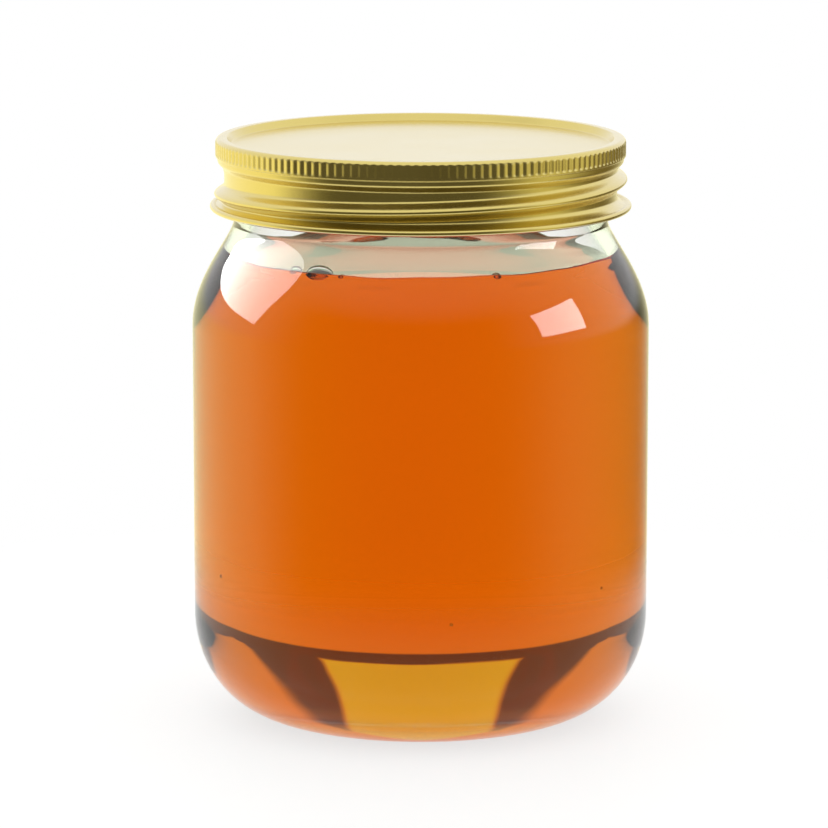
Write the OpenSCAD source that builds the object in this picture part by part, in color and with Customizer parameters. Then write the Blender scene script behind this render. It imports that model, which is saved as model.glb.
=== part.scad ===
// Honey jar: a squat round glass jar filled with clear honey, under a one-piece screw cap of
// lacquered tinplate. Z is up, and the origin is the centre of the foot, on the table.

/* [Glass] */
// Outside diameter of the body
body_d = 79; // [70:0.5:95]
// Height of the glass from its foot to its rim
jar_h = 99.2; // [94:0.1:125]
// Thickness of the side wall
wall = 2.5; // [1.5:0.1:3.5]
// Thickness of the glass in the middle of the floor
floor_t = 4.2; // [3:0.1:7]
// Height of the hollow under the floor
pushup_h = 1.4; // [0.5:0.1:3]
// Outside diameter of the ring that the jar stands on
foot_d = 48.6; // [40:0.2:60]
// Width of the ring that the jar stands on
foot_w = 2.2; // [1:0.1:4]
// Height of the rounded heel
heel_h = 17.7; // [10:0.1:22]
// Inside radius between the floor and the wall
inner_heel = 11.5; // [6:0.1:14]
// Outside diameter of the neck
neck_d = 64.6; // [52:0.2:72]
// Thickness of the wall in the neck
neck_wall = 2.6; // [1.8:0.1:3.2]
// Height of the shoulder, from the straight wall to the neck
shoulder_h = 18.1; // [12:0.1:24]
// Height of the neck above the shoulder
neck_h = 12.8; // [11:0.1:18]
// How long the shoulder keeps the direction of the wall
shoulder_bulge = 8.3; // [3:0.1:12]
// How long the shoulder keeps the direction of the neck
shoulder_root = 2.8; // [1:0.1:6]
// Radius of the rounded rim
rim_r = 1.1; // [0.6:0.1:1.3]

/* [Honey] */
// Height of the level surface of the honey below the rim
headspace = 19.8; // [14:0.1:40]
// Height that the honey climbs at the wall
meniscus_h = 1.2; // [0.4:0.1:2]
// Distance over which the climb fades towards the middle
meniscus_w = 1.7; // [0.8:0.1:2.5]

/* [Cap] */
// Thickness of the sheet
sheet = 0.4; // [0.3:0.05:0.6]
// Height of the cap from its raised rim to the bottom of its curl
cap_h = 12.4; // [12:0.1:14]
// Room between the neck of the glass and the skirt
cap_play = 1.15; // [0.8:0.05:1.5]
// How far the band under the crown stands out from the skirt
band_rise = 1.15; // [0.8:0.05:1.6]
// Height of the ribs of the grip
grip_h = 2.3; // [1.5:0.1:3]
// Number of ribs round the grip
grip_ribs = 156; // [60:2:180]
// Depth of the grooves between the ribs
grip_depth = 0.35; // [0.2:0.05:0.5]
// Height of the plain band under the ribs
band_h = 0.7; // [0.3:0.1:1.5]
// Radius between the raised rim and the ribs
crown_round = 0.9; // [0.6:0.1:1.2]
// Height of the raised rim above the flat panel
rim_lift = 1.2; // [0.6:0.1:1.6]
// Width of the raised rim
rim_w = 2.1; // [1.8:0.1:2.6]
// Width of the step from the panel up to the raised rim
step_w = 0.5; // [0.3:0.1:1]
// How far the rolled thread stands out from the skirt
thread_rise = 1.75; // [1.4:0.05:2]
// Rise of the rolled thread in one turn
thread_pitch = 5.1; // [4:0.1:6]
// Width of the rolled thread, from waist to waist
thread_w = 3.7; // [2.5:0.1:4]
// Height of the rolled thread above the flare, at the front
thread_lift = 1.7; // [1.2:0.1:2.2]
// Room between the thread of the glass and the rolled thread of the cap
thread_play = 0.6; // [0.4:0.1:1]
// Height of the slope between the plain band and the skirt
ease_h = 1.6; // [0.8:0.1:2]
// Height over which the skirt flares out to the curl
flare_h = 1.7; // [1:0.1:2.5]
// How far the curled edge stands out from the skirt
curl_rise = 2.5; // [2:0.1:3]
// Height of the curled edge
curl_h = 1.1; // [0.8:0.1:1.4]

/* [Hidden] */
$fn = 96;
bite = 0.5; // overlap that joins two stretches of one piece

body_r = body_d / 2;
neck_r = neck_d / 2;
foot_r = foot_d / 2;
neck_z = jar_h - neck_h;
shoulder_z = neck_z - shoulder_h;
floor_z = pushup_h + floor_t;
level_z = jar_h - headspace;

panel_z = jar_h + sheet;
crown_z = panel_z + rim_lift;
skirt_r = neck_r + cap_play + sheet;
band_r = skirt_r + band_rise;
grip_r = band_r + grip_depth;
curl_r = skirt_r + curl_rise - curl_h / 2;
curl_z = crown_z - cap_h + curl_h / 2;
grip_top_z = crown_z - crown_round;
band_z = grip_top_z - grip_h - band_h;
flare_z = curl_z + flare_h;
thread_z = flare_z + thread_lift;

// The rounded heel: a quarter of an ellipse from the foot up to the wall.
function heel(r, z, half_w, h, steps) =
    [for (i = [0:steps]) let (a = 90 * i / steps) [r - half_w + half_w * sin(a), z + h - h * cos(a)]];

// The shoulder: one smooth double bend from the wall up to the neck.
function shoulder(low_r, high_r, low_z, high_z, steps) =
    [for (i = [0:steps]) let (t = i / steps, s = 1 - t)
        [low_r * (s * s * s + 3 * s * s * t) + high_r * (3 * s * t * t + t * t * t),
         s * s * s * low_z + 3 * s * s * t * (low_z + shoulder_bulge)
         + 3 * s * t * t * (high_z - shoulder_root) + t * t * t * high_z]];

// The hollow under the floor: a shallow cosine dome inside the foot ring.
function hollow(steps) =
    [for (i = [0:steps]) let (q = i / steps)
        [(foot_r - foot_w) * q, pushup_h * (1 + cos(180 * q)) / 2]];

module jar_outline() {
    polygon(concat(
        hollow(8),
        heel(body_r, 0, body_r - foot_r, heel_h, 9),
        shoulder(body_r, neck_r, shoulder_z, neck_z, 12),
        [[neck_r, jar_h - rim_r]],
        [for (a = [15:15:75]) [neck_r - rim_r + rim_r * cos(a), jar_h - rim_r + rim_r * sin(a)]],
        [[neck_r - rim_r, jar_h], [0, jar_h]]));
}

module cavity_outline() {
    in_r = neck_r - neck_wall;
    polygon(concat(
        [[0, floor_z]],
        heel(body_r - wall, floor_z, inner_heel, inner_heel, 8),
        shoulder(body_r - wall, in_r, shoulder_z - wall / 2, neck_z - wall / 3, 12),
        [[in_r, jar_h + bite], [0, jar_h + bite]]));
}

// The thread of the glass: a ridge round the neck that lies inside the rolled thread of the cap.
module neck_thread() {
    first_turn = -0.45;
    turns = 1.05;
    steps = 76;
    root_r = neck_r - 0.6;
    crest_r = skirt_r + thread_rise - sheet - thread_play;
    root_w = 1.1;
    crest_w = 0.45;
    points = [for (i = [0:steps])
        let (turn = first_turn + turns * i / steps,
             a = 360 * turn - 90,
             z = thread_z + thread_pitch * turn,
             full = min(1, i / 6, (steps - i) / 6),
             r = neck_r - 0.2 + (crest_r - neck_r + 0.2) * full)
        each [[root_r * cos(a), root_r * sin(a), z - root_w],
              [r * cos(a), r * sin(a), z - crest_w],
              [r * cos(a), r * sin(a), z + crest_w],
              [root_r * cos(a), root_r * sin(a), z + root_w]]];
    sides = [for (i = [0:steps - 1]) for (k = [0:3])
        let (a = 4 * i + k, b = 4 * i + (k + 1) % 4, c = b + 4, d = a + 4)
        each [[a, b, c], [a, c, d]]];
    last = 4 * steps;
    ends = [[0, 2, 1], [0, 3, 2], [last, last + 1, last + 2], [last, last + 2, last + 3]];
    polyhedron(points, concat(sides, ends), convexity = 6);
}

module jar() {
    color("honeydew", 0.35)
        union() {
            rotate_extrude()
                difference() {
                    jar_outline();
                    cavity_outline();
                }
            neck_thread();
        }
}

// Honey up to its level, with the rim of honey that clings to the wall.
module honey() {
    reach = 6 * meniscus_w;
    edge_r = honey_edge_r();
    color("darkorange")
        rotate_extrude()
            intersection() {
                cavity_outline();
                polygon(concat(
                    [[0, 0], [body_r, 0], [body_r, level_z + meniscus_h]],
                    [for (i = [0:8]) let (d = reach * i * i / 64)
                        [edge_r - d, level_z + meniscus_h * exp(-d / meniscus_w)]],
                    [[0, level_z]]));
            }
}

// Inside radius of the shoulder where the honey ends.
function honey_edge_r() =
    let (pts = shoulder(body_r - wall, neck_r - neck_wall, shoulder_z - wall / 2, neck_z - wall / 3, 12),
         z = level_z + meniscus_h)
    lookup(z, [for (p = pts) [p[1], p[0]]]);

// Rise of the rolled thread above the skirt, at a turn counted from the front and a height. The
// thread rises to the right seen from outside, runs over one turn and fades out at both ends.
function thread_bump(turn, z) =
    let (centre = thread_z + thread_pitch * turn,
         off = (z - centre) / (thread_w / 2),
         fade = min(1, (turn + 0.62) / 0.12, (0.78 - turn) / 0.12))
    abs(off) >= 1 || fade <= 0 ? 0 : thread_rise * fade * (1 + cos(180 * off)) / 2;

// Outside radius of the skirt: eases from the band to the skirt, and out again to the curl.
function skirt_at(z) =
    let (up = (z - (band_z - ease_h)) / ease_h, down = (flare_z - z) / flare_h)
    up > 0 ? skirt_r + (band_r - skirt_r) * (1 - cos(180 * up)) / 2
    : down > 0 ? skirt_r + (curl_r - skirt_r) * (1 - cos(90 * min(1, down)))
    : skirt_r;

// The skirt, or the pass of the thread that stands out further at this place.
function skirt_r_at(angle, z) =
    z > band_z ? band_r
    : max(skirt_at(z), skirt_r + max([for (k = [-1:1]) thread_bump(angle / 360 + k, z)]));

// The skirt as one thin wall of rings. Its topmost rings are a tongue inside the plain band.
module threaded_skirt() {
    sides = 96;
    rows = 14;
    lip = 0.15;
    low_z = band_z - lip;
    heights = concat([band_z + bite, band_z + lip],
        [for (j = [0:rows]) low_z + (curl_z - low_z) * j / rows]);
    outer = [for (z = heights) let (inset = z > band_z ? sheet / 4 : 0)
        [for (i = [0:sides - 1]) let (a = 360 * i / sides, r = skirt_r_at(a + 90, z) - inset)
            [r * cos(a), r * sin(a), z]]];
    inner = [for (z = heights) let (inset = z > band_z ? sheet / 4 : 0)
        [for (i = [0:sides - 1]) let (a = 360 * i / sides, r = skirt_r_at(a + 90, z) - sheet + inset)
            [r * cos(a), r * sin(a), z]]];
    rings = concat(outer, [for (j = [len(heights) - 1:-1:0]) inner[j]]);
    count = len(rings);
    points = [for (ring = rings) for (p = ring) p];
    faces = [for (j = [0:count - 1]) for (i = [0:sides - 1])
        let (a = j * sides + i, b = j * sides + (i + 1) % sides,
             c = ((j + 1) % count) * sides + (i + 1) % sides, d = ((j + 1) % count) * sides + i)
        each [[a, b, c], [a, c, d]]];
    polyhedron(points, faces, convexity = 6);
}

// A quarter turn from level to upright, round the outer edge of the crown.
function crown_turn(r, radius) =
    [for (a = [90:-15:0]) [r + radius * cos(a), grip_top_z + radius * sin(a)]];

// The flat panel, the step up to its raised rim and the band under it, as one revolved sheet.
module crown() {
    rim_in_r = grip_r - rim_w;
    turn_r = band_r - crown_round;
    rotate_extrude()
        polygon(concat(
            [[0, jar_h], [0, panel_z], [rim_in_r - step_w, panel_z], [rim_in_r, crown_z - sheet / 2]],
            [[rim_in_r + sheet / 2, crown_z]],
            crown_turn(turn_r, crown_round),
            [[band_r, band_z], [band_r - sheet, band_z]],
            [for (p = [6:-1:0]) crown_turn(turn_r, crown_round - sheet)[p]],
            [[rim_in_r + sheet, crown_z - sheet], [rim_in_r - step_w + sheet, jar_h]]));
}

// Ribs of the grip: a ring with one ridge for each rib, whose grooves end inside the band.
module grip() {
    top_gap = 0.1;
    translate([0, 0, grip_top_z - grip_h])
        linear_extrude(grip_h - top_gap)
            difference() {
                polygon([for (i = [0:2 * grip_ribs - 1])
                    let (a = 180 * i / grip_ribs, r = i % 2 == 0 ? grip_r : band_r - sheet / 4)
                        [r * cos(a), r * sin(a)]]);
                circle(r = band_r - sheet / 2);
            }
}

module curl() {
    rotate_extrude()
        translate([curl_r, curl_z])
            circle(d = curl_h, $fn = 24);
}

module cap() {
    color("gold")
        union() {
            crown();
            grip();
            threaded_skirt();
            curl();
        }
}

jar();
honey();
cap();
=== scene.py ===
import math

import bpy
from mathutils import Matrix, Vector


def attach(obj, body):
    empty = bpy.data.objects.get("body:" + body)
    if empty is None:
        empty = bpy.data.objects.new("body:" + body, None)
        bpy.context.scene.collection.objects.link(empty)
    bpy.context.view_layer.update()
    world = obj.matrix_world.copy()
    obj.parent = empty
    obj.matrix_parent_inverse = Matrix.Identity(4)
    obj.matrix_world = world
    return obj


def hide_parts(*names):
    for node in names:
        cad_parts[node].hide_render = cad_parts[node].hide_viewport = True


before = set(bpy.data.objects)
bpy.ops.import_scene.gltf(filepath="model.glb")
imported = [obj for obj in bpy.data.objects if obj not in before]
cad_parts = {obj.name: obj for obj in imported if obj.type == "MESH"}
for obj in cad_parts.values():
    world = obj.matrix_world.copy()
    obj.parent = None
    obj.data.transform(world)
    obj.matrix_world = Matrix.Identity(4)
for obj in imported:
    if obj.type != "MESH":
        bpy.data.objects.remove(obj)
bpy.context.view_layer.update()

# ---------------------------------------------------------------- The glass jar
# A squat round jar of clear flint glass, blown in a two-part mould. It has a thick, slightly
# hollow floor, rounded heel and shoulder, and a neck with a moulded one-start screw thread.
# The mould leaves long soft waves in the wall, and the thick places look faintly green.
body_r = 39.5
wall = 2.5
foot_r = 24.3
foot_w = 2.2
hollow_h = 1.4
floor_z = 5.6
heel_h = 17.7
inner_heel = 11.5
neck_r = 32.3
neck_wall = 2.6
shoulder_z = 68.3
neck_z = 86.4
shoulder_bulge = 8.3
shoulder_root = 2.8
jar_h = 99.2
rim_r = 1.1
thread_z = 92.35
thread_pitch = 5.1
ridge_rise = 2.6
ridge_half_w = 1.1
ridge_start = -0.45
ridge_end = 0.6
ridge_fade = 0.08
lip_drop = 2.2
jar_sides = 256


def heel_bend(r, z, half_w, h, steps):
    """A quarter of an ellipse from the floor up to the wall."""
    angles = [math.pi / 2 * i / steps for i in range(steps + 1)]
    return [(r - half_w + half_w * math.sin(a), z + h - h * math.cos(a)) for a in angles]


def shoulder_point(low_r, high_r, low_z, high_z, t):
    """A point of the smooth double bend from the wall, at t = 0, up to the neck, at t = 1."""
    s = 1 - t
    r = low_r * (s**3 + 3 * s * s * t) + high_r * (3 * s * t * t + t**3)
    z = s**3 * low_z + 3 * s * s * t * (low_z + shoulder_bulge)
    return r, z + 3 * s * t * t * (high_z - shoulder_root) + t**3 * high_z


def shoulder_bend(low_r, high_r, low_z, high_z, steps, end=1.0):
    """The double bend from the wall towards the neck, up to t = end."""
    return [shoulder_point(low_r, high_r, low_z, high_z, end * i / steps) for i in range(steps + 1)]


def rows_between(first, last, steps):
    """Points spread evenly over a straight stretch, without its two ends."""
    return [
        (first[0] + (last[0] - first[0]) * i / steps, first[1] + (last[1] - first[1]) * i / steps)
        for i in range(1, steps)
    ]


def lathe(name, outline, sides):
    """Spins an outline in millimetres, which runs from the axis to the axis, into a closed mesh."""
    points = [Vector((r, 0, z)) * 0.001 for r, z in outline]
    bpy.ops.object.select_all(action="DESELECT")
    bpy.ops.mesh.primitive_plane_add(size=0.001)
    piece = bpy.context.object
    piece.name = name
    piece.data.name = name
    bpy.ops.object.mode_set(mode="EDIT")
    bpy.ops.mesh.select_all(action="SELECT")
    bpy.ops.mesh.merge(type="CENTER")
    bpy.ops.transform.translate(value=points[0])
    for here, there in zip(points, points[1:]):
        bpy.ops.mesh.extrude_vertices_move(TRANSFORM_OT_translate={"value": there - here})
    bpy.ops.object.mode_set(mode="OBJECT")
    bpy.ops.object.modifier_add(type="SCREW")
    screw = piece.modifiers[0]
    screw.steps = sides
    screw.render_steps = sides
    bpy.ops.object.modifier_apply(modifier=screw.name)
    bpy.ops.object.mode_set(mode="EDIT")
    bpy.ops.mesh.select_all(action="SELECT")
    bpy.ops.mesh.remove_doubles(threshold=2e-6)
    bpy.ops.mesh.normals_make_consistent(inside=False)
    bpy.ops.object.mode_set(mode="OBJECT")
    bpy.ops.object.shade_smooth()
    return piece


def turn_of(point):
    """How many turns a point lies round the axis, counted from the front towards the right."""
    return math.atan2(point.x, -point.y) / math.tau


def set_radius(point, radius_mm):
    """Moves a point straight out or in to a new distance from the axis."""
    now = math.hypot(point.x, point.y)
    point.x *= radius_mm * 0.001 / now
    point.y *= radius_mm * 0.001 / now


floor_arc = [
    ((foot_r - foot_w) * i / 16, hollow_h * (1 + math.cos(math.pi * i / 16)) / 2) for i in range(17)
]
neck_rows = rows_between((neck_r, neck_z), (neck_r, jar_h - rim_r), 26)
rim_arc = [
    (neck_r - rim_r + rim_r * math.cos(a), jar_h - rim_r + rim_r * math.sin(a))
    for a in [math.pi * i / 16 for i in range(17)]
]
bore_r = neck_r - neck_wall
cavity_low = (body_r - wall, bore_r, shoulder_z - wall / 2, neck_z - wall / 3)
glass_outline = floor_arc + heel_bend(body_r, 0, body_r - foot_r, heel_h, 40)
glass_outline += shoulder_bend(body_r, neck_r, shoulder_z, neck_z, 44)
glass_outline += neck_rows + rim_arc
glass_outline += [(bore_r, jar_h - lip_drop)]
glass_outline += shoulder_bend(*cavity_low, 44)[::-1]
glass_outline += heel_bend(body_r - wall, floor_z, inner_heel, inner_heel, 30)[::-1]
glass_outline += [(0, floor_z)]

glass = lathe("glass_jar", glass_outline, jar_sides)


def glass_ridge(turn, z):
    """How far the thread of the glass stands out from the neck."""
    fade = min(1, max(0, (turn - ridge_start) / ridge_fade), max(0, (ridge_end - turn) / ridge_fade))
    off = abs(z - thread_z - thread_pitch * turn) / ridge_half_w
    return 0 if off >= 1 else ridge_rise * fade * (1 + math.cos(math.pi * off)) / 2


for vertex in glass.data.vertices:
    height = vertex.co.z * 1000
    radius = math.hypot(vertex.co.x, vertex.co.y) * 1000
    if neck_z + 2 < height < jar_h - rim_r and radius > neck_r - 0.01:
        turn = turn_of(vertex.co)
        rise = max(glass_ridge(turn + k, height) for k in (-1, 0, 1))
        set_radius(vertex.co, neck_r + rise)


def cavity_radius(z):
    """Inside radius of the jar at a height."""
    if z < floor_z + inner_heel:
        rise = max(0, 1 - (z - floor_z) / inner_heel)
        return body_r - wall - inner_heel * (1 - math.sqrt(1 - rise * rise))
    steps = shoulder_bend(*cavity_low, 60)
    if z <= steps[0][1]:
        return body_r - wall
    for (r0, z0), (r1, z1) in zip(steps, steps[1:]):
        if z <= z1:
            return r0 + (r1 - r0) * (z - z0) / (z1 - z0)
    return bore_r


def node(tree, kind, **settings):
    """Adds a shader node. A setting named after an input sets it, or links it to another socket."""
    made = tree.nodes.new("ShaderNode" + kind)
    for key, value in settings.items():
        if hasattr(made, key):
            setattr(made, key, value)
            continue
        numbered = key.startswith("in") and key[2:].isdigit()
        socket = made.inputs[int(key[2:]) if numbered else key.replace("_", " ")]
        if isinstance(value, bpy.types.NodeSocket):
            tree.links.new(value, socket)
        else:
            socket.default_value = value
    return made


def new_material(name):
    """An empty node material and its output node."""
    material = bpy.data.materials.new(name)
    material.use_nodes = True
    material.node_tree.nodes.clear()
    return material, material.node_tree, material.node_tree.nodes.new("ShaderNodeOutputMaterial")


def wear_group():
    """Slow stains and fine specks over a surface, for the colour and gloss of glass and metal."""
    group = bpy.data.node_groups.new("handling_marks", "ShaderNodeTree")
    group.interface.new_socket("Vector", in_out="INPUT", socket_type="NodeSocketVector")
    for name, value in (("Stain Scale", 40.0), ("Speck Scale", 900.0), ("Speck Share", 0.3)):
        socket = group.interface.new_socket(name, in_out="INPUT", socket_type="NodeSocketFloat")
        socket.default_value = value
    for name in ("Stain", "Specks"):
        group.interface.new_socket(name, in_out="OUTPUT", socket_type="NodeSocketFloat")
    start = group.nodes.new("NodeGroupInput")
    end = group.nodes.new("NodeGroupOutput")
    stain = node(group, "TexNoise", Vector=start.outputs["Vector"], Scale=start.outputs["Stain Scale"],
                 Detail=4.0, Roughness=0.55)
    fine = node(group, "TexNoise", Vector=start.outputs["Vector"], Scale=start.outputs["Speck Scale"],
                Detail=2.0)
    cut = node(group, "MapRange", Value=fine.outputs["Fac"], From_Min=0.62, From_Max=0.72)
    share = node(group, "Math", operation="MULTIPLY", in0=cut.outputs["Result"],
                 in1=start.outputs["Speck Share"])
    group.links.new(stain.outputs["Fac"], end.inputs["Stain"])
    group.links.new(share.outputs[0], end.inputs["Specks"])
    return group


handling_marks = wear_group()

glass_mat, tree, output = new_material("clear_glass")
place = node(tree, "TexCoord")
marks = node(tree, "Group", node_tree=handling_marks, Vector=place.outputs["Object"])
marks.inputs["Stain Scale"].default_value = 55.0
marks.inputs["Speck Scale"].default_value = 1400.0
tint = node(tree, "Mix", data_type="RGBA", in0=marks.outputs["Stain"],
            in6=(0.965, 0.985, 0.965, 1), in7=(0.99, 0.995, 0.99, 1))
gloss = node(tree, "MapRange", Value=marks.outputs["Specks"], To_Min=0.0, To_Max=0.05)
stretch = node(tree, "Mapping", Vector=place.outputs["Object"], Scale=(1.0, 1.0, 0.35))
waves = node(tree, "TexNoise", Vector=stretch.outputs[0], Scale=42.0, Detail=1.0)
bump = node(tree, "Bump", Height=waves.outputs["Fac"], Strength=0.2, Distance=0.0006)
shader = node(tree, "BsdfPrincipled", Base_Color=tint.outputs["Result"], Roughness=gloss.outputs["Result"],
              IOR=1.52, Transmission_Weight=1.0, Specular_Tint=(0.4, 0.4, 0.4, 1), Normal=bump.outputs[0])
tree.links.new(shader.outputs[0], output.inputs["Surface"])
glass.data.materials.append(glass_mat)

# Where honey touches the glass there is next to no reflection, so the wetted inside of the
# wall is the same glass without its mirror shine.
wet_mat = glass_mat.copy()
wet_mat.name = "wetted_glass"
for part in wet_mat.node_tree.nodes:
    if part.type == "BSDF_PRINCIPLED":
        part.inputs["Specular Tint"].default_value = (0, 0, 0, 1)
glass.data.materials.append(wet_mat)
wet_top = 80.6
for face in glass.data.polygons:
    middle = face.center
    radius = math.hypot(middle.x, middle.y) * 1000
    height = middle.z * 1000
    inner = cavity_radius(height) + 0.2 if height > floor_z else 0
    if floor_z - 0.01 < height < wet_top and radius < inner:
        face.material_index = 1

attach(glass, "root")
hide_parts("jar")

# ---------------------------------------------------------------- The honey
# Clear runny honey, deep orange where it is thick, filled up to the shoulder. It wets the
# glass, so its edge climbs the wall a little, and the last air of the filling hangs there as
# bubbles. Its outside lies a quarter of a millimetre inside the wall, so that no air shows.
level_z = 79.4
climb = 1.2
climb_w = 1.7
edge_w = 10.0
reach = 0.25
creep = 0.0001
film = 0.22

t_low, t_high = 0.0, 1.0
for halving in range(40):
    middle = (t_low + t_high) / 2
    if shoulder_point(*cavity_low, middle)[1] < level_z + climb:
        t_low = middle
    else:
        t_high = middle
edge_t = t_low
edge_r = shoulder_point(*cavity_low, edge_t)[0]
honey_outline = [(0, floor_z - reach)]
honey_outline += heel_bend(body_r - wall + reach, floor_z - reach, inner_heel, inner_heel, 30)
honey_outline += [
    (r + reach, z + reach * 0.4) for r, z in shoulder_bend(*cavity_low, 34, edge_t)
]
honey_outline += [
    (edge_r - d, level_z + climb * math.exp(-d / climb_w))
    for d in [edge_w * (i / 20) ** 2 for i in range(1, 21)]
]
honey_outline += [(0, level_z)]

honey = lathe("honey_fill", honey_outline, jar_sides)

# The edge of the honey isn't quite level: it creeps up and down the wall by a tenth or two of
# a millimetre.
for vertex in honey.data.vertices:
    height = vertex.co.z * 1000
    radius = math.hypot(vertex.co.x, vertex.co.y) * 1000
    near = min(1, max(0, (radius - edge_r + 7) / 6)) * min(1, max(0, (height - level_z + 0.6) / 0.6))
    angle = turn_of(vertex.co) * math.tau
    slow, quick = math.sin(3 * angle + 1), 0.8 * math.sin(8 * angle)
    vertex.co.z += creep * near * (slow + quick + 0.6 * math.sin(17 * angle + 2))


def bubbles(name, places, inset=0.0):
    """Ellipsoids in one mesh, from azimuth, radius and height, and half sizes round, out and up."""
    bpy.ops.object.select_all(action="DESELECT")
    made = []
    for azimuth, radius, height, half in places:
        a = math.radians(azimuth)
        bpy.ops.mesh.primitive_uv_sphere_add(
            segments=32, ring_count=16, radius=0.001, rotation=(0, 0, a),
            location=(radius * 0.001 * math.sin(a), -radius * 0.001 * math.cos(a), height * 0.001),
            scale=[size - inset for size in half],
        )
        made.append(bpy.context.object)
    for piece in made:
        piece.select_set(True)
    bpy.ops.object.join()
    bpy.context.object.name = name
    return bpy.context.object


def combine(piece, other, operation):
    """Adds another mesh to a piece, or cuts it out, and deletes the other mesh."""
    bpy.ops.object.select_all(action="DESELECT")
    piece.select_set(True)
    bpy.context.view_layer.objects.active = piece
    bpy.ops.object.modifier_add(type="BOOLEAN")
    change = piece.modifiers[0]
    change.operation = operation
    change.solver = "EXACT"
    change.object = other
    bpy.ops.object.modifier_apply(modifier=change.name)
    bpy.data.objects.remove(other)


hanging = [
    (-33.0, edge_r - 1.9, level_z + 0.7, (2.5, 1.7, 1.6)),
    (-41.5, edge_r - 1.4, level_z + 0.8, (1.15, 0.95, 1.0)),
    (23.5, edge_r - 1.3, level_z + 0.7, (0.95, 0.85, 0.8)),
    (-24.5, edge_r - 1.2, level_z + 0.6, (0.7, 0.7, 0.6)),
]
tiny = [
    (-64.0, body_r - wall - 1.4, 27.0, (0.3, 0.25, 0.3)),
    (8.0, body_r - wall - 1.2, 23.0, (0.28, 0.25, 0.25)),
    (55.0, body_r - wall - 1.5, 26.0, (0.25, 0.25, 0.25)),
]
combine(honey, bubbles("bubble_skins", hanging), "UNION")
combine(honey, bubbles("bubble_air", hanging, film), "DIFFERENCE")
combine(honey, bubbles("tiny_bubbles", tiny), "DIFFERENCE")
bpy.ops.object.select_all(action="DESELECT")
honey.select_set(True)
bpy.context.view_layer.objects.active = honey
bpy.ops.object.shade_smooth()

honey_mat, tree, output = new_material("orange_honey")
place = node(tree, "TexCoord")
cloud = node(tree, "TexNoise", Vector=place.outputs["Object"], Scale=30.0, Detail=3.0)
tint = node(tree, "Mix", data_type="RGBA", in0=cloud.outputs["Fac"],
            in6=(1.0, 0.985, 0.96, 1), in7=(1.0, 1.0, 1.0, 1))
swirl = node(tree, "TexNoise", Vector=place.outputs["Object"], Scale=60.0, Detail=2.0)
bump = node(tree, "Bump", Height=swirl.outputs["Fac"], Strength=0.1, Distance=0.0003)
shader = node(tree, "BsdfPrincipled", Base_Color=tint.outputs["Result"], Roughness=0.0,
              IOR=1.49, Transmission_Weight=1.0, Specular_Tint=(0, 0, 0, 1), Normal=bump.outputs[0])
body = node(tree, "VolumeAbsorption", Color=(0.964, 0.757, 0.083, 1), Density=120.0)
tree.links.new(shader.outputs[0], output.inputs["Surface"])
tree.links.new(body.outputs[0], output.inputs["Volume"])
honey.data.materials.append(honey_mat)

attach(honey, "root")
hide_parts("honey")

# ---------------------------------------------------------------- The screw cap
# A one-piece cap pressed from tinplate and roller-coated with gold lacquer: a flat panel sunk
# inside a raised rim, a grip of pressed grooves, one rolled thread, and an outward curled edge.
# The lacquer is satin, and it thins to bare tin along the underside of the curl.
sheet_t = 0.4
cap_top = 100.8
panel_z = 99.6
grip_r = 35.35
band_r = 35.0
skirt_r = 33.85
rim_w = 2.1
step_w = 0.5
turn_r = 0.9
grip_low = 97.6
band_z = 96.9
ease_h = 1.6
flare_z = 90.65
flare_h = 1.7
curl_r = 35.8
curl_z = 88.95
curl_round = 0.55
ribs = 156
sides_per_rib = 5
groove_w = 0.50
groove_depth = 0.17
thread_rise = 1.75
thread_w = 3.7
thread_start = -0.62
thread_end = 0.78
thread_fade = 0.12


def cap_thread(turn, z):
    """How far the rolled thread stands out from the skirt."""
    fade = min(1, (turn - thread_start) / thread_fade, (thread_end - turn) / thread_fade)
    off = abs(z - thread_z - thread_pitch * turn) / (thread_w / 2)
    return 0 if off >= 1 or fade <= 0 else thread_rise * fade * (1 + math.cos(math.pi * off)) / 2


def skirt_at(z):
    """Outside radius of the skirt between the plain band and the curl, without its thread."""
    up = (z - (band_z - ease_h)) / ease_h
    down = (flare_z - z) / flare_h
    if up > 0:
        return skirt_r + (band_r - skirt_r) * (1 - math.cos(math.pi * min(1, up))) / 2
    if down > 0:
        return skirt_r + (curl_r - skirt_r) * (1 - math.cos(math.pi / 2 * min(1, down)))
    return skirt_r


def arc(r, z, radius, first, last, steps):
    """Points round a bend, with its angles in degrees from straight out."""
    angles = [math.radians(first + (last - first) * i / steps) for i in range(steps + 1)]
    return [(r + radius * math.cos(a), z + radius * math.sin(a)) for a in angles]


rim_in = grip_r - rim_w
low_skirt = [(skirt_at(z), z) for z in [flare_z - flare_h * d for d in (0.15, 0.3, 0.42, 0.54, 0.65, 0.76)]]
cap_outline = [(0, panel_z), (12, panel_z), (24, panel_z), (30, panel_z)]
cap_outline += arc(rim_in - step_w - 0.3, panel_z + 0.3, 0.3, -90, -15, 4)
cap_outline += arc(rim_in + 0.32, cap_top - 0.3, 0.3, 165, 90, 4)
cap_outline += arc(grip_r - turn_r, cap_top - turn_r, turn_r, 90, 0, 8)
cap_outline += rows_between((grip_r, cap_top - turn_r), (grip_r, grip_low + 0.1), 12)
cap_outline += [(grip_r, grip_low + 0.1), (grip_r - 0.05, grip_low), (grip_r - 0.3, grip_low - 0.05)]
cap_outline += [(band_r, grip_low - 0.1), (band_r, grip_low - 0.35), (band_r, band_z)]
cap_outline += [(skirt_at(band_z - ease_h * i / 7), band_z - ease_h * i / 7) for i in range(1, 8)]
cap_outline += rows_between((skirt_r, band_z - ease_h), (skirt_r, flare_z), 20) + [(skirt_r, flare_z)]
cap_outline += low_skirt
cap_outline += arc(curl_r, curl_z, curl_round, 148, -176, 20)
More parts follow.
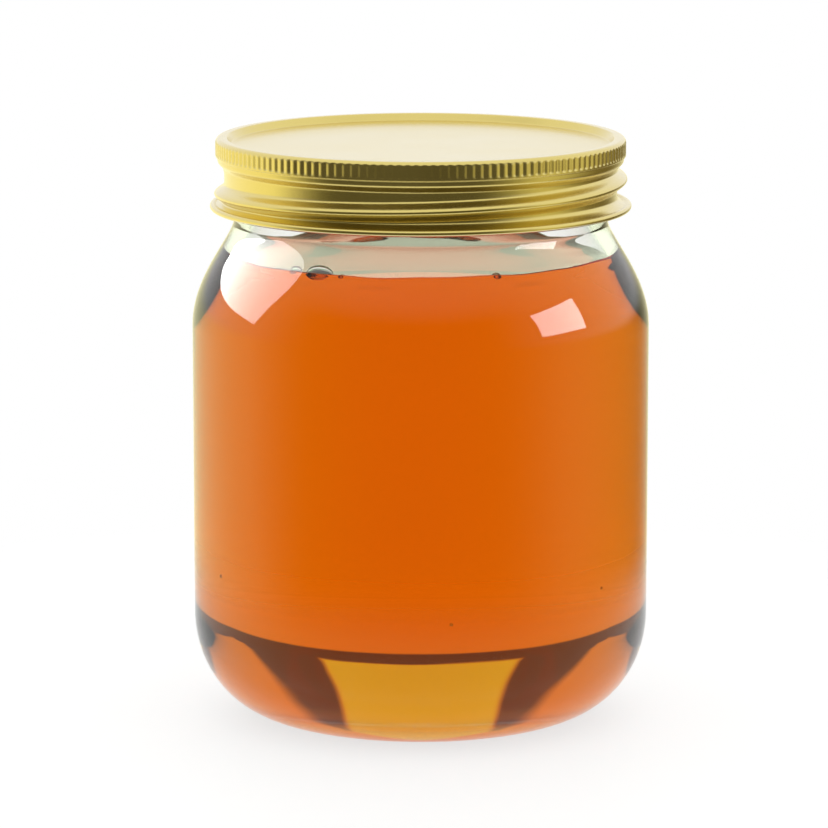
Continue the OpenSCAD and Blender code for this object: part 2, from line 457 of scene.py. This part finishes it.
cap_outline += [(skirt_at(z) - sheet_t, z) for z in (89.5, 89.9, 90.3, 90.65)]
cap_outline += [(skirt_at(z) - sheet_t, z) for z in [flare_z + 4.65 * i / 10 for i in range(1, 11)]]
cap_outline += [(skirt_at(z) - sheet_t, z) for z in (95.7, 96.1, 96.5, 96.9)]
cap_outline += arc(band_r - turn_r, cap_top - turn_r, turn_r - sheet_t, 0, 90, 5)
cap_outline += [(rim_in + sheet_t, cap_top - sheet_t), (rim_in - step_w + sheet_t, jar_h), (0, jar_h)]

cap = lathe("screw_cap", cap_outline, ribs * sides_per_rib)


def groove(turn, z):
    """Depth of the pressed grooves, long slots with round ends, from 0 to 1."""
    across = abs((turn * ribs) % 1 - 0.5) * math.tau * grip_r / ribs
    along = max(0, grip_low + groove_w + 0.15 - z, z - (cap_top - 0.35 - groove_w))
    off = math.hypot(across, along) / groove_w
    return 0 if off >= 1 else (1 + math.cos(math.pi * off)) / 2


for vertex in cap.data.vertices:
    height = vertex.co.z * 1000
    radius = math.hypot(vertex.co.x, vertex.co.y) * 1000
    turn = turn_of(vertex.co)
    on_skirt = flare_z - flare_h * 0.8 < height < band_z + 0.001
    if on_skirt and 30 < radius < skirt_at(height) + 0.01:
        inside = skirt_at(height) - radius
        thread = max(cap_thread(turn + k, height) for k in (-1, 0, 1))
        if height < band_z - 0.01:
            set_radius(vertex.co, max(skirt_at(height), skirt_r + thread) - inside)
    elif height > grip_low - 0.01 and radius > grip_r - turn_r + 0.2:
        set_radius(vertex.co, radius - groove_depth * groove(turn, height))

gold_mat, tree, output = new_material("gold_lacquer")
place = node(tree, "TexCoord")
marks = node(tree, "Group", node_tree=handling_marks, Vector=place.outputs["Object"])
marks.inputs["Stain Scale"].default_value = 60.0
marks.inputs["Speck Scale"].default_value = 1600.0
colour = node(tree, "Mix", data_type="RGBA", in0=marks.outputs["Stain"],
              in6=(0.70, 0.56, 0.15, 1), in7=(0.80, 0.65, 0.20, 1))
split = node(tree, "SeparateXYZ", Vector=place.outputs["Object"])
curl_mask = node(tree, "MapRange", Value=split.outputs["Z"], From_Min=0.0888, From_Max=0.0885,
                 To_Min=0.0, To_Max=0.75)
bare = node(tree, "Mix", data_type="RGBA", in0=curl_mask.outputs["Result"],
            in6=colour.outputs["Result"], in7=(0.80, 0.79, 0.76, 1))
gloss = node(tree, "MapRange", Value=marks.outputs["Stain"], From_Min=0.3, From_Max=0.7,
             To_Min=0.2, To_Max=0.27)
fine = node(tree, "TexNoise", Vector=place.outputs["Object"], Scale=700.0, Detail=3.0)
bump = node(tree, "Bump", Height=fine.outputs["Fac"], Strength=0.12, Distance=0.0001)
shader = node(tree, "BsdfPrincipled", Base_Color=bare.outputs["Result"], Metallic=1.0,
              Roughness=gloss.outputs["Result"], Normal=bump.outputs[0], Coat_Weight=0.8,
              Coat_Roughness=0.2)
tree.links.new(shader.outputs[0], output.inputs["Surface"])
cap.data.materials.append(gold_mat)

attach(cap, "root")
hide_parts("cap")

# ---------------------------------------------------------------- Floor, light and camera
# A plain white table that fades out into the white behind it, in a soft white room that is
# dark on the camera's side, with one softbox on each side for the lights on the shoulder.
bpy.ops.object.select_all(action="DESELECT")
bpy.ops.mesh.primitive_circle_add(vertices=96, radius=0.2, fill_type="NGON")
floor = bpy.context.object
floor.name = "floor"
floor_mat, tree, output = new_material("white_table")
place = node(tree, "TexCoord")
far = node(tree, "VectorMath", operation="LENGTH", in0=place.outputs["Object"])
fade = node(tree, "MapRange", Value=far.outputs["Value"], From_Min=0.09, From_Max=0.17,
            interpolation_type="SMOOTHSTEP")
grain = node(tree, "TexNoise", Vector=place.outputs["Object"], Scale=300.0, Detail=3.0)
paper = node(tree, "Mix", data_type="RGBA", in0=grain.outputs["Fac"],
             in6=(0.28, 0.28, 0.27, 1), in7=(0.31, 0.31, 0.30, 1))
matt = node(tree, "BsdfPrincipled", Base_Color=paper.outputs["Result"], Roughness=0.7,
            Emission_Color=(1, 1, 1, 1), Emission_Strength=0.72)
clear = node(tree, "BsdfTransparent")
both = node(tree, "MixShader", in0=fade.outputs["Result"], in1=matt.outputs[0], in2=clear.outputs[0])
tree.links.new(both.outputs[0], output.inputs["Surface"])
floor.data.materials.append(floor_mat)

world = bpy.data.worlds.new("white_room")
bpy.context.scene.world = world
world.use_nodes = True
tree = world.node_tree
tree.nodes.clear()
output = tree.nodes.new("ShaderNodeOutputWorld")
place = node(tree, "TexCoord")
turned = node(tree, "VectorRotate", rotation_type="Z_AXIS", Vector=place.outputs["Generated"],
              Angle=math.radians(10))
split = node(tree, "SeparateXYZ", Vector=turned.outputs[0])
flat = node(tree, "CombineXYZ", X=split.outputs["X"], Y=split.outputs["Y"])
unit = node(tree, "VectorMath", operation="NORMALIZE", in0=flat.outputs[0])
level = node(tree, "SeparateXYZ", Vector=unit.outputs[0])


def ramp(value, low, high):
    """A soft step from 0 at low to 1 at high."""
    made = node(tree, "MapRange", Value=value, From_Min=low, From_Max=high,
                interpolation_type="SMOOTHSTEP")
    return made.outputs["Result"]


def join(operation, first, second):
    """One step of arithmetic between two shader values."""
    return node(tree, "Math", operation=operation, in0=first, in1=second).outputs[0]


def blend(factor, first, second):
    """A colour between two others, each of them a colour or a socket."""
    mixed = node(tree, "Mix", data_type="RGBA", in0=factor, in6=first, in7=second)
    return mixed.outputs["Result"]


# A ray that went into the glass has crossed one surface; one that went on through the honey
# and the far wall has crossed more than four.
in_glass = 0.5
in_honey = 4.5
path = node(tree, "LightPath")
crossed = path.outputs["Transmission Depth"]
mirrored = join("MINIMUM", path.outputs["Glossy Depth"], 1.0)
camera_side = join("MULTIPLY", ramp(level.outputs["Y"], -0.02, -0.75), ramp(split.outputs["Z"], 0.75, 0.45))
room = join("MULTIPLY", camera_side, mirrored)

# The walls of the room, as the honey's rays see them: a dark strip above the table's edge, and
# over it on each of the four sides a warm bright panel between two dark, leaning gaps.
whole = node(tree, "SeparateXYZ", Vector=place.outputs["Generated"])
side_x = join("ABSOLUTE", whole.outputs["X"], 0.0)
side_y = join("ABSOLUTE", whole.outputs["Y"], 0.0)
nearest = join("MAXIMUM", join("MAXIMUM", side_x, side_y), 0.01)
across = join("DIVIDE", join("MINIMUM", side_x, side_y), nearest)
up = join("DIVIDE", whole.outputs["Z"], nearest)
panel_lean = 0.65
gap_lean = 6.8
above_table = ramp(up, 0.055, 0.07)
above_strip = ramp(up, 0.14, 0.155)
strip = join("MULTIPLY", above_table, ramp(up, 0.155, 0.14))
panel_edge = join("ADD", across, join("MULTIPLY", up, panel_lean))
gap_edge = join("ADD", across, join("MULTIPLY", up, gap_lean))
gaps = join("MULTIPLY", ramp(panel_edge, 0.40, 0.44), ramp(gap_edge, 2.40, 2.20))
gaps = join("MULTIPLY", gaps, above_table)
through = join("GREATER_THAN", crossed, in_honey)
wall_dark = join("MULTIPLY", join("MAXIMUM", strip, gaps), through)
panel = join("MULTIPLY", ramp(panel_edge, 0.44, 0.40), above_strip)
panel_light = join("MULTIPLY", panel, through)

# What glass and lacquer mirror: warm light from the left, dimmer light from the right, almost
# none from the camera's side. Inside the neck the light is bright and cream, and its dark brown.
inside = join("GREATER_THAN", crossed, in_glass)
in_neck = join("MULTIPLY", join("MULTIPLY", inside, join("LESS_THAN", crossed, in_honey)), mirrored)
low_side = join("MULTIPLY", ramp(split.outputs["Z"], 0.08, -0.05), mirrored)
right_light = blend(ramp(level.outputs["Y"], -0.1, 0.7), (0.74, 0.69, 0.38, 1), (0.18, 0.14, 0.05, 1))
side_light = blend(ramp(level.outputs["X"], -0.2, 0.6), (1.18, 1.12, 0.70, 1), right_light)
room_light = blend(in_neck, blend(low_side, (1, 1, 1, 1), side_light), (1.08, 1.16, 0.86, 1))
dark = blend(inside, (0.09, 0.08, 0.05, 1), (0.36, 0.2, 0.08, 1))
shade = blend(room, room_light, dark)
daylight = blend(panel_light, (1, 1, 1, 1), (0.46, 1.0, 0.5, 1))
wall_shade = node(tree, "MapRange", Value=wall_dark, To_Min=1.0, To_Max=0.2)
boost = node(tree, "MapRange", Value=panel_light, To_Min=1.0, To_Max=2.2)
colour = node(tree, "Mix", data_type="RGBA", blend_type="MULTIPLY", in0=1.0, in6=daylight, in7=shade)
sky = node(tree, "Background", Color=colour.outputs["Result"],
           Strength=join("MULTIPLY", wall_shade.outputs["Result"], boost.outputs["Result"]))
tree.links.new(sky.outputs[0], output.inputs["Surface"])


def softbox(name, azimuth, elevation, width, height, radiance, distance=1.2):
    """A rectangular light that faces the jar, at an azimuth counted from the front to the right."""
    a, e = math.radians(azimuth), math.radians(elevation)
    way = Vector((math.sin(a) * math.cos(e), -math.cos(a) * math.cos(e), math.sin(e)))
    light = bpy.data.lights.new(name, "AREA")
    light.shape = "RECTANGLE"
    light.size = width
    light.size_y = height
    light.energy = radiance * math.pi * width * height
    lamp = bpy.data.objects.new(name, light)
    bpy.context.scene.collection.objects.link(lamp)
    lamp.location = way * distance + Vector((0, 0, 0.06))
    lamp.rotation_euler = way.to_track_quat("Z", "Y").to_euler()
    lamp.visible_camera = False
    lamp.visible_transmission = False
    lamp.visible_diffuse = False
    return lamp


shiny = bpy.data.collections.new("lit_glass")
shiny.objects.link(glass)
for lamp in (
    softbox("softbox_left", -118, 34, 1.2, 0.95, 11.0),
    softbox("softbox_right", 77, 19, 0.6, 0.4, 17.0),
):
    lamp.light_linking.receiver_collection = shiny

camera_data = bpy.data.cameras.new("camera")
camera_data.sensor_width = 36
camera_data.lens = 214.6
camera_data.clip_start = 0.05
camera = bpy.data.objects.new("camera", camera_data)
bpy.context.scene.collection.objects.link(camera)
camera.location = (0, -0.8445, 0.2053)
aim = Vector((-0.00115, 0, 0.0522)) - camera.location
camera.rotation_euler = aim.to_track_quat("-Z", "Y").to_euler()
bpy.context.scene.camera = camera
bpy.context.scene.view_settings.view_transform = "Standard"
